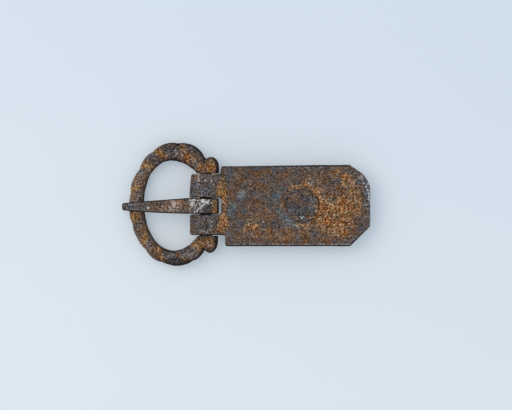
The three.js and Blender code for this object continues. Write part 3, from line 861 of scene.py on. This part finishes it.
def ironSkinGroup():  # patina, granular rust, bare patches and worn edges of old forged iron, with painted shade on the outline and painted glints
    group, given, result = newGroup(
        "ironSkin",
        {"Place": (0, 0, 0), "Rust": 0.0, "Bare": 0.0, "Grey": 0.0, "WornAndGlint": 0.0, "Hot": 0.5, "Relief": 0.0,
         "Rim": 0.0, "Light": 0.0, "Spark": 0.0, "Wear": 0.5, "Fleck": 0.5, "Speck": 0.2, "Coarse": 1.9,
         "Patina": screen(86, 75, 70), "Warm": screen(95, 76, 63)},
        {"Color": (0, 0, 0, 1), "Roughness": 0.0, "Metallic": 0.0, "Height": 0.0},
    )
    place, relief, rust = given["Place"], given["Relief"], given["Rust"]
    field = {name: noise(group, place, *settings) for name, settings in ironFields.items()}
    middle, fine, grit = field["middle"], field["fine"], field["grit"]
    cells = node(group, "TexVoronoi", {"Vector": place, "Scale": 2.3}).outputs["Distance"]
    scales = node(group, "TexVoronoi", {"Vector": place, "Scale": 3.0}).outputs["Color"]
    # patina from brown to grey, in broad patches of much the same lightness
    patina = mixed(group, between(group, field["broad"], 0.38, 0.6), given["Patina"], given["Warm"])
    greyness = most(group, times(group, between(group, field["cloudy"], 0.5, 0.66), 0.35), given["Grey"])
    patina = mixed(group, greyness, patina, ironTones["grey"])
    # rust from gold to orange
    rusty = plus(group, rust, swing(group, fine, between(group, rust, 0.1, 0.7, 0.1, 0.4)))
    rusty = plus(group, rusty, swing(group, middle, between(group, rust, 0.1, 0.7, 1.25, 1.5)))
    rustMask = between(group, rusty, 0.05, 0.95)
    hot = between(group, plus(group, given["Hot"], swing(group, middle, 4.0)), 0.1, 0.9)
    rustTone = mixed(group, hot, ironTones["gold"], ironTones["orange"])
    rustTone = mixed(group, between(group, rust, 0.3, 0.75), ironTones["brown"], rustTone)
    colour = mixed(group, rustMask, patina, rustTone)
    # bluish bare patches
    bareMask = between(group, plus(group, given["Bare"], swing(group, fine, 0.8)), 0.1, 1.0)
    colour = mixed(group, bareMask, colour, ironTones["bluish"])
    jitter = scaled(group, ironTones["hueSwing"], minus(group, field["hue"], 0.5))
    colour = vector2(group, "ADD", colour, jitter)
    # every grain is a little lighter or darker than the next, most of all in rust and on bare grey iron
    speck = minus(group, node(group, "SeparateColor", {0: scales}).outputs["Red"], 0.5)
    grainy = plus(group, speck, between(group, cells, 0.22, 0.62, -0.4, 0.32))
    rough = most(group, rustMask, times(group, given["Grey"], 0.45))
    amount = times(group, given["Speck"], between(group, rough, 0.0, 1.0, 1.0, given["Coarse"]))
    light = plus(group, times(group, grainy, amount), given["Light"])
    lightened = node(group, "CombineXYZ", {0: light, 1: light, 2: light}).outputs[0]
    colour = vector2(group, "MAXIMUM", vector2(group, "ADD", colour, lightened), ironTones["darkest"])
    # corners and grooves are darker, and Rim brings the painted shade of the outline; edges are worn to
    # metal, and Spark adds painted glints
    darkeningAndPaintedShade = most(group, times(group, between(group, relief, -0.1, -1.0), 0.75), given["Rim"])
    darkMix = between(group, plus(group, fine, times(group, grainy, 0.15)), 0.4, 0.62)
    colour = mixed(group, darkeningAndPaintedShade, colour, mixed(group, darkMix, *ironTones["darkMix"]))
    worn = plus(group, times(group, between(group, relief, 0.2, 0.9), given["Wear"]), given["WornAndGlint"])
    worn = times(group, worn, between(group, grainy, -0.25, 0.35, 0.0, 1.3))
    fleck = times(group, between(group, field["fleck"], 0.7, 0.76), between(group, middle, 0.45, 0.55))
    worn = most(group, worn, times(group, fleck, given["Fleck"]))
    # the sparks are painted glints
    worn = most(group, worn, given["Spark"])
    worn = times(group, worn, minus(group, 1.0, given["Rim"]), True)
    colour = mixed(group, worn, colour, ironTones["bright"])
    colour = scaled(group, colour, ironTones["dimming"])
    colour = node(group, "Gamma", {"Color": colour, "Gamma": 2.2}).outputs[0]
    group.links.new(colour, result["Color"])
    dull = minus(group, between(group, rustMask, 0.0, 1.0, 0.6, 0.92), times(group, worn, 0.25), True)
    group.links.new(dull, result["Roughness"])
    metal = plus(group, times(group, worn, 0.5), times(group, bareMask, 0.15), True)
    group.links.new(metal, result["Metallic"])
    # rust stands proud in grains, patina is finely pitted
    high = plus(group, times(group, fine, 0.6), times(group, grit, 0.3))
    crust = times(group, times(group, grit, rustMask), 0.8)
    group.links.new(plus(group, high, crust), result["Height"])
    return group


raggedPlace = raggedPlaceGroup()
patch = patchGroup()
ironSkin = ironSkinGroup()


def patches(tree, place, places):  # the strongest of several patches at each point
    total = 0.0
    for x, y, reachX, reachY, strength, *soft in places:
        values = {"Place": place, "Centre": (x, y, 0), "Reach": (reachX, reachY, 1), "Strength": strength}
        mask = grouped(tree, patch, {**values, "Soft": soft[0]} if soft else values)["Mask"]
        total = most(tree, total, mask) if total else mask
    return total


def ringMask(tree, place, centre, radius, reach):  # full on a circle, gone at its reach
    far = planLength(tree, vector2(tree, "SUBTRACT", place, (*centre, 0)))
    off = sum2(tree, "ABSOLUTE", minus(tree, far, radius))
    return between(tree, off, 0.0, reach, 1.0, 0.0)


def ironMaterial(name, finish):
    material = bpy.data.materials.new(name)
    material.use_nodes = True
    tree = material.node_tree
    shader = tree.nodes["Principled BSDF"]
    shader.inputs["Specular IOR Level"].default_value = finish["shine"]
    here = node(tree, "TexCoord").outputs["Object"]
    place = node(tree, "Mapping", {"Vector": here, "Scale": (1 / mm,) * 3}).outputs["Vector"]
    ragged = grouped(tree, raggedPlace, {"Place": place, "Ragged": finish["ragged"]})["Place"]
    height = axisOf(tree, place, "Z")
    masks = {
        label: patches(tree, ragged, finish.get(label, []))
        for label in ("rust", "bare", "grey", "worn", "dim", "pale", "dusk")
    }
    masks["paintedShadowLines"] = patches(tree, place, finish.get("paintedShadowLines", []))  # painted shadow: thin dark lines along gaps and edges
    if "frontFrom" in finish:  # the patches seen in front don't go through to the back
        front = between(tree, height, finish["frontFrom"], finish["frontFrom"] + 1.0)
        masks = {label: times(tree, mask, front) for label, mask in masks.items()}
    rust, worn = plus(tree, masks["rust"], finish["rustBase"]), masks["worn"]
    # painted shade: the slope darkens the outline on the side turned from the light
    start, end, dark = finish["rim"]
    rim = between(tree, attributeOf(tree, "slope"), start, end, 0.0, dark)
    if "collar" in finish:  # crust round the rivet head, and a painted shadow line at its foot
        centre, footRadius, crustWidth, strength = finish["collar"]
        crust = ringMask(tree, ragged, centre, footRadius + crustWidth / 2, crustWidth / 2)
        rust = plus(tree, rust, times(tree, crust, strength))
        broken = between(tree, noise(tree, place, 0.5, 1, 0.5, 15.0), 0.4, 0.55)
        foot = times(tree, ringMask(tree, ragged, centre, footRadius, 0.4), broken)
        rim = most(tree, rim, times(tree, foot, 0.75))
    if "groove" in finish:
        groove = between(tree, attributeOf(tree, "groove"), 0.15, 0.65, -0.1, finish["groove"])
        rust = plus(tree, rust, groove)
    # the outline's painted shade, the painted shadow lines and the dim patches darken together
    rim = plus(tree, most(tree, rim, masks["paintedShadowLines"]), masks["dim"], True)
    # painted glints: small bright specks, kept to the front
    spark = patches(tree, place, [(x, y, size, size, 1.3, 0.4) for x, y, size in finish["sparks"]])
    spark = times(tree, spark, between(tree, height, 4.2, 4.7))
    if "paintedEdgeHighlight" in finish:  # a painted highlight: a broken bright line inside the lower edge, where its bevel catches the light
        lineY, reach, strength = finish["paintedEdgeHighlight"]
        off = sum2(tree, "ABSOLUTE", minus(tree, axisOf(tree, place, "Y"), lineY))
        line = between(tree, off, 0.0, reach, strength, 0.0)
        worn = most(tree, worn, times(tree, line, between(tree, axisOf(tree, place, "X"), -5.0, -3.0)))
    if "streaks" in finish:  # scratches run across the strip
        turn, strength = finish["streaks"]
        turned = {"Vector": place, "Rotation": (0, 0, turn), "Scale": (1.0, 0.28, 1.0)}
        streak = noise(tree, node(tree, "Mapping", turned).outputs["Vector"], 2.2, 2, 0.6, 11.0)
        worn = times(tree, worn, between(tree, streak, 0.46, 0.58, 0.0, 1.3))
        dull = between(tree, masks["grey"], 0.0, 0.8, 1.0, 0.25)
        worn = plus(tree, worn, times(tree, between(tree, streak, 0.52, 0.7, 0.0, strength), dull))
    values = {"Place": place, "Rust": rust, "Bare": masks["bare"], "Grey": masks["grey"], "WornAndGlint": worn,
              "Relief": attributeOf(tree, "relief"), "Rim": rim, "Spark": spark,
              "Light": minus(tree, masks["pale"], masks["dusk"])}
    for label in ("Hot", "Speck", "Coarse", "Wear", "Fleck", "Patina", "Warm"):
        values[label] = finish[label.lower()]
    skin = grouped(tree, ironSkin, values)
    for output, socket in (("Color", "Base Color"), ("Roughness", "Roughness"), ("Metallic", "Metallic")):
        tree.links.new(skin[output], shader.inputs[socket])
    bump = node(tree, "Bump", {"Height": skin["Height"], "Strength": 0.8, "Distance": 0.22 * mm})
    tree.links.new(bump.outputs["Normal"], shader.inputs["Normal"])
    return material


# patches in millimetres of the frame: x, y, reach in x, reach in y, strength, and softness where not 0.6
ringFinish = {
    "patina": screen(88, 73, 64),
    "warm": screen(101, 78, 60),
    "hot": 0.4,
    "shine": 0.15,
    "ragged": 0.7,
    "rustBase": 0.12,
    "groove": 0.45,
    "speck": 0.29,
    "coarse": 1.25,
    "wear": 0.15,
    "fleck": 0.4,
    "rim": (0.11, 0.44, 0.96),  # painted shade of the outline: slope from and to, and how dark
    "rust": [
        (-17.8, 15.6, 0.8, 0.9, 1.0, 0.5), (-16.9, 14.2, 0.6, 1.0, 0.9, 0.5),
        (-15.8, 12.5, 0.7, 1.1, 0.8, 0.5), (-23.1, 13.9, 1.6, 0.9, 0.78, 0.5),
        (-26.6, 10.1, 1.8, 0.7, 0.78, 0.5), (-30.1, 4.1, 1.3, 0.8, 0.85, 0.5),
        (-30.4, -3.3, 1.3, 1.9, 0.75), (-27.9, -8.6, 1.0, 1.8, 0.5), (-23.8, -12.6, 0.9, 1.0, 0.8, 0.5),
        (-23.0, -14.0, 0.6, 1.0, 0.7, 0.5), (-22.5, -15.2, 0.7, 0.8, 0.6, 0.5),
        (-16.6, -12.7, 1.4, 0.6, 0.2), (-12.6, -10.8, 1.8, 1.5, 0.75), (-9.8, -10.2, 1.5, 1.7, 0.8),
        (-13.7, 12.1, 1.8, 1.2, 0.6), (-11.9, 9.7, 2.4, 1.5, 0.5), (-9.5, 10.1, 1.5, 1.9, 0.8),
        (-30.9, 0.6, 1.2, 2.0, 0.45), (-25.2, 7.8, 0.7, 2.0, 0.3),
    ],
    "grey": [
        (-21.0, 14.6, 2.2, 1.6, 0.9), (-25.3, 12.9, 1.4, 0.9, 0.8), (-26.4, -10.8, 1.4, 1.2, 0.8),
        (-18.2, -14.4, 4.6, 2.4, 0.95, 0.5), (-14.4, 14.4, 2.4, 1.4, 0.6), (-29.0, 7.2, 1.2, 2.2, 0.6),
    ],
    "worn": [(-17.6, -13.4, 3.4, 1.0, 0.14), (-18.2, 13.8, 2.4, 1.2, 0.06)],
    "dim": [
        (-19.3, -15.6, 3.4, 1.3, 0.4, 0.5), (-21.2, 15.9, 3.6, 1.2, 0.2, 0.5), (-13.6, 13.8, 2.4, 1.0, 0.2),
    ],
    # painted light: the pale patches lighten the ring's left side, which faces the light
    "pale": [(-30.4, 3.0, 1.8, 3.4, 0.07), (-27.3, 8.6, 1.8, 2.2, 0.04), (-27.4, -9.4, 2.0, 3.0, 0.03)],
    "dusk": [
        (-19.3, 14.2, 4.4, 2.6, 0.05, 0.5), (-19.3, -14.3, 4.8, 2.4, 0.045, 0.5),
        (-9.6, -11.0, 2.4, 2.4, 0.03, 0.5),
    ],
    "sparks": [  # painted glints: x, y and size
        (-19.2, 14.5, 0.18), (-17.3, 13.2, 0.22), (-18.7, 13.7, 0.17), (-21.1, -13.2, 0.22),
        (-18.3, -13.0, 0.24), (-17.3, -14.3, 0.24), (-27.3, -9.6, 0.2), (-10.1, -11.2, 0.18),
    ],
}
tongueFinish = {
    "patina": screen(94, 82, 74),
    "warm": screen(108, 88, 73),
    "hot": 0.6,
    "shine": 0.2,
    "ragged": 0.5,
    "frontFrom": 2.0,
    "rustBase": -0.1,
    "speck": 0.2,
    "coarse": 1.6,
    "wear": 0.35,
    "fleck": 0.6,
    "streaks": (0.25, 0.4),  # turn and strength
    "rim": (0.03, 0.25, 0.95),
    "rust": [
        (-8.5, -0.4, 0.9, 3.0, 1.3, 0.3), (-19.9, 0.1, 1.6, 1.6, 0.6, 0.7), (-17.3, -1.0, 0.9, 0.7, 0.5),
        (-20.8, -0.4, 4.8, 2.6, 0.55),
    ],
    "grey": [(-31.0, -0.4, 5.0, 3.0, 0.95, 0.4), (-11.2, -1.2, 2.2, 2.2, 0.95, 0.4)],
    "worn": [
        (-13.7, -0.4, 1.8, 2.8, 1.05, 0.3), (-11.6, 0.7, 2.0, 1.2, 1.3, 0.4), (-19.6, -0.3, 1.2, 1.8, 0.45),
    ],
    "dim": [
        (-11.0, -1.7, 1.1, 0.9, 0.3, 0.5), (-28.5, -0.4, 2.0, 3.0, 0.12, 0.5),
        (-10.9, 1.1, 0.9, 0.3, 0.4, 0.5), (-10.2, -0.6, 0.8, 0.7, 0.3, 0.5),
        (-11.6, 0.2, 0.35, 0.3, 0.4, 0.5),
    ],
    # painted shadow lines along the tongue's edges and at the end of its eye
    "paintedShadowLines": [
        (-10.7, 1.53, 3.2, 0.15, 0.95, 0.4), (-11.4, -2.55, 4.0, 0.16, 0.95, 0.4),
        (-7.75, -0.4, 0.16, 2.4, 0.9, 0.4),
    ],
    "pale": [(-19.6, -0.2, 1.6, 2.2, 0.1), (-14.2, -1.5, 1.3, 0.9, 0.07)],
    "dusk": [
        (-23.5, -0.4, 1.6, 2.2, 0.05), (-16.2, -0.4, 0.9, 2.4, 0.04), (-12.4, -0.4, 2.6, 2.4, 0.05, 0.5),
    ],
    "sparks": [
        (-10.5, 0.4, 0.26), (-10.9, 0.62, 0.3), (-11.4, 0.64, 0.26), (-12.0, 0.66, 0.24),
        (-11.3, 0.05, 0.24), (-11.7, -0.25, 0.24), (-12.1, -0.65, 0.24), (-12.5, -1.1, 0.22),
        (-13.9, 1.15, 0.26), (-14.4, 1.15, 0.22), (-26.5, -1.0, 0.26), (-13.9, -2.1, 0.2),
        (-9.5, 0.2, 0.14),
    ],
}
sheetFinish = {
    "patina": screen(87, 74, 67),
    "warm": screen(99, 76, 60),
    "hot": 0.6,
    "shine": 0.15,
    "ragged": 1.1,
    "frontFrom": 3.2,
    "rustBase": 0.04,
    "speck": 0.2,
    "coarse": 2.1,
    "wear": 0.6,
    "fleck": 0.2,
    "rim": (0.04, 0.3, 0.95),
    "collar": ((15.1, -0.43), 4.4, 2.0, 0.45),  # centre, foot radius of the painted shadow line, width and strength of the crust
    "rust": [
        (-6.7, 3.6, 1.4, 3.2, 1.0, 0.4), (-6.5, -5.4, 1.5, 3.0, 1.05, 0.4),
        (-5.7, -0.2, 0.8, 2.8, 0.5, 0.5), (1.0, -5.6, 2.4, 2.0, 0.75), (1.2, -3.0, 1.2, 1.2, 0.4),
        (1.2, 5.8, 2.2, 1.6, 0.35, 0.7), (0.4, -0.6, 1.4, 1.0, 0.4, 0.7), (5.0, -1.2, 1.8, 1.6, 0.4, 0.7),
        (8.0, -8.0, 10.0, 1.7, 0.45, 0.5), (14.8, -6.8, 2.6, 1.4, 0.55), (23.8, -3.0, 6.0, 6.6, 0.8),
        (28.8, 1.0, 2.6, 5.6, 0.75, 0.5), (26.8, 6.4, 1.6, 2.0, 0.85, 0.5),
        (24.2, 8.0, 1.4, 1.2, 0.85, 0.5), (25.6, -8.0, 2.4, 1.6, 0.65, 0.5),
        (19.6, 3.6, 2.4, 2.4, 0.55, 0.7), (18.0, 7.2, 3.4, 1.6, 0.35, 0.7), (28.8, -5.4, 1.6, 1.4, 0.65),
        (15.0, 5.4, 3.6, 1.2, 0.4),
    ],
    "bare": [
        (-1.3, 2.6, 1.1, 1.6, 1.0), (-3.9, -0.9, 1.1, 2.3, 0.85), (8.2, 1.4, 1.4, 1.8, 0.68, 0.7),
        (9.0, -2.2, 1.3, 1.6, 0.66, 0.7), (10.6, -4.4, 1.5, 1.4, 0.8), (12.0, -5.9, 1.4, 1.0, 0.66),
        (9.6, 4.0, 1.2, 1.0, 0.55), (7.0, -0.6, 0.9, 0.9, 0.6), (2.8, 2.2, 0.6, 1.4, 0.55, 0.7),
        (-3.9, -8.4, 1.0, 0.8, 0.6), (-4.0, 8.4, 1.6, 1.2, 0.5), (17.2, 5.9, 0.9, 0.7, 0.5),
        (23.6, 4.0, 0.9, 0.9, 0.45), (-2.6, -5.0, 1.6, 1.4, 0.35),
    ],
    "grey": [
        (-11.5, 0, 3.6, 9.5, 0.8, 0.3), (33.5, -0.5, 2.6, 9.5, 0.85, 0.5), (31, 8.8, 4.0, 3.0, 0.8, 0.5),
        (12, 10.2, 20.0, 1.2, 0.7, 0.5), (29.5, -10.2, 4.0, 1.6, 0.6, 0.5), (20.0, 2.8, 1.6, 1.2, 0.3),
    ],
    "pale": [
        (9.0, 1.9, 1.2, 1.9, 0.03), (13.2, -5.6, 2.8, 1.0, 0.04), (10.8, -4.2, 1.4, 1.4, 0.015),
        (-1.2, 2.7, 0.9, 1.3, 0.08), (16.8, 5.8, 1.3, 0.8, 0.08), (19.6, 1.2, 0.9, 2.0, 0.05),
    ],
    "dim": [(-11.2, -5.6, 2.4, 2.8, 0.12), (-10.9, -5.6, 0.6, 2.4, 0.22)],
    # painted shadow lines in the slot's gaps and along the plate's upper and lower edges
    "paintedShadowLines": [
        (-10.4, 1.76, 3.6, 0.14, 0.95, 0.4), (-11.0, -2.84, 3.8, 0.14, 0.95, 0.4),
        (3.0, -11.28, 9.5, 0.38, 0.95, 0.4), (18.0, -11.28, 11.0, 0.36, 0.95, 0.4),
        (0.5, 10.0, 8.0, 0.3, 0.3, 0.4), (16.0, 10.3, 12.5, 0.22, 0.9, 0.4),
    ],
    # worn metal, with painted highlights: thin bright lines along the bevels of the right end, the upper edge
    # and the lower knuckle
    "worn": [
        (32.8, 2.8, 0.25, 3.4, 0.9), (30.6, 7.2, 0.4, 0.8, 0.4), (18, 9.9, 7, 0.1, 0.4, 0.8),
        (-9.2, -5.6, 0.22, 1.0, 0.7, 0.5), (-11.5, -7.2, 2.0, 0.14, 0.8), (-13.2, 5.6, 0.25, 2.6, 0.4, 0.7),
    ],
    "paintedEdgeHighlight": (-10.8, 0.17, 0.7),  # y, reach and strength of the painted highlight
    "sparks": [
        (-13.6, 8.2, 0.26), (-12.8, 8.0, 0.18), (-12.9, 6.9, 0.17), (-12.8, 6.4, 0.16), (-11.0, 6.4, 0.16),
        (-9.4, 6.2, 0.17), (-8.8, 5.3, 0.16), (4.5, -4.8, 0.17), (19.0, -1.9, 0.2), (27.0, -2.0, 0.16),
        (31.7, 5.6, 0.22), (32.2, 4.7, 0.26), (32.6, 3.8, 0.22), (32.9, 2.9, 0.28), (33.1, 1.9, 0.22),
        (33.2, 1.2, 0.18),
    ],
}
rivetFinish = {
    "patina": screen(73, 69, 72),
    "warm": screen(85, 72, 68),
    "hot": 0.3,
    "shine": 0.15,
    "ragged": 1.0,
    "rustBase": 0.04,
    "speck": 0.22,
    "coarse": 1.8,
    "wear": 0.2,
    "fleck": 0.3,
    "rim": (0.25, 0.8, 0.7),
    "bare": [(17.8, 1.1, 0.8, 1.2, 0.7), (15.2, -1.2, 1.0, 0.8, 0.5), (16.6, -0.8, 0.9, 1.6, 0.4)],
    "rust": [
        (16.4, 2.6, 2.4, 1.2, 0.5), (13.2, -3.6, 2.0, 0.9, 0.4), (11.6, 1.6, 0.9, 2.0, 0.4),
        (18.9, -0.6, 0.9, 2.6, 0.6), (17.2, -3.4, 1.8, 0.9, 0.6), (13.0, 2.6, 1.6, 0.9, 0.35),
    ],
    "dim": [(12.8, -1.4, 1.6, 2.0, 0.12)],
    "sparks": [(14.9, -3.7, 0.24), (14.6, -3.4, 0.14), (15.4, -3.4, 0.14), (18.7, -1.8, 0.2)],
}
placed(forgedFrame(), "frame", "buckle_frame", ironMaterial("rustedRingIron", ringFinish))
placed(forgedTongue(), "tongue", "tongue", ironMaterial("wornTongueIron", tongueFinish))
placed(forgedPlate(), "plate", "folded_plate", ironMaterial("rustedSheetIron", sheetFinish))
placed(forgedRivet(), "plate", "rivet", ironMaterial("darkRivetIron", rivetFinish))

# floor, light and camera
studio = {
    "boardSize": 4,
    "boardDrop": 0.15 * mm,  # just under the dents of the back
    "boardCuts": 3,
    "boardTones": (tone(228, 238, 246), tone(218, 231, 243)),
    "boardSlant": 0.12,
    "boardReach": 0.07,
    "floorColor": tone(214, 225, 236),
    "floorGlow": 0.3,  # share of the floor that shows its colour free of shadow
    "zenith": 0.66,
    "horizon": 0.86,
    "skyColor": (0.93, 1.0, 1.06, 1),
    "keyPower": 1.1,
    "keyColor": (1.2, 1.0, 0.82),
    "keySize": 0.48,
    "keyPlace": (-0.31, 0.16, 0.51),
    "lens": 300,
    "sensor": 36,
    "nearest": 0.01,
    "imageWidth": 512,
    "pixel": 0.27 * mm,  # one photograph pixel on the object
    "aim": (256 - 246.5, 204.15 - 205),
    "middleHeight": 3.6 * mm,
}


def inScene(name, data, place, target):  # a lamp or camera at its place, turned to its target
    thing = bpy.data.objects.new(name, data)
    bpy.context.scene.collection.objects.link(thing)
    thing.location = place
    thing.rotation_euler = (Vector(target) - thing.location).to_track_quat("-Z", "Y").to_euler()
    return thing


def seenDirectly(tree):  # 1 for what the camera, a reflection or glass shows
    path = node(tree, "LightPath").outputs
    return most(tree, most(tree, path["Is Camera Ray"], path["Is Glossy Ray"]), path["Is Transmission Ray"])


bpy.ops.mesh.primitive_plane_add(size=studio["boardSize"], location=(0, 0, -studio["boardDrop"]))
floor = added("floor")
editStart(floor, "SELECT")
bpy.ops.mesh.subdivide(number_cuts=studio["boardCuts"])
editEnd()
floorPaint = bpy.data.materials.new("paleBoard")
floorPaint.use_nodes = True
board = floorPaint.node_tree
boardShader = board.nodes["Principled BSDF"]
boardShader.inputs["Roughness"].default_value = 1.0
boardShader.inputs["Specular IOR Level"].default_value = 0.0
spot = node(board, "TexCoord").outputs["Object"]
# painted light: the board is lighter towards low y, and a little towards low x
slant = plus(board, times(board, axisOf(board, spot, "X"), studio["boardSlant"]), axisOf(board, spot, "Y"))
lightness = between(board, slant, -studio["boardReach"], studio["boardReach"])
boardColor = mixed(board, lightness, *studio["boardTones"])
board.links.new(boardColor, boardShader.inputs["Base Color"])
glow = node(board, "Emission", {"Color": boardColor, "Strength": 1.0}).outputs[0]
glowShare = times(board, seenDirectly(board), studio["floorGlow"])
blend = node(board, "MixShader", {0: glowShare, 1: boardShader.outputs[0], 2: glow})
board.links.new(blend.outputs[0], board.nodes["Material Output"].inputs["Surface"])
floor.data.materials.append(floorPaint)

world = bpy.data.worlds.new("softRoom")
world.use_nodes = True
bpy.context.scene.world = world
room = world.node_tree
up = axisOf(room, node(room, "TexCoord").outputs["Generated"], "Z")
sky = between(room, up, 0.0, 0.9, studio["horizon"], studio["zenith"])
seen = seenDirectly(room)
roomLight = plus(room, times(room, sky, minus(room, 1.0, seen)), seen)
roomColor = mixed(room, seen, studio["skyColor"], studio["floorColor"])
room.links.new(roomColor, room.nodes["Background"].inputs["Color"])
room.links.new(roomLight, room.nodes["Background"].inputs["Strength"])

keyLight = bpy.data.lights.new("softbox", "AREA")
keyLight.energy = studio["keyPower"]
keyLight.color = studio["keyColor"]
keyLight.size = studio["keySize"]
inScene("softbox", keyLight, studio["keyPlace"], (0, 0, 0))

lens = bpy.data.cameras.new("camera")
lens.lens = studio["lens"]
lens.sensor_width = studio["sensor"]
lens.clip_start = studio["nearest"]
distance = studio["imageWidth"] * studio["pixel"] * studio["lens"] / studio["sensor"]
aimX, aimY = (value * studio["pixel"] for value in studio["aim"])
cameraPlace = (aimX, aimY, distance + studio["middleHeight"])
bpy.context.scene.camera = inScene("camera", lens, cameraPlace, (aimX, aimY, 0))
bpy.context.scene.view_settings.view_transform = "Standard"
print("studio set")
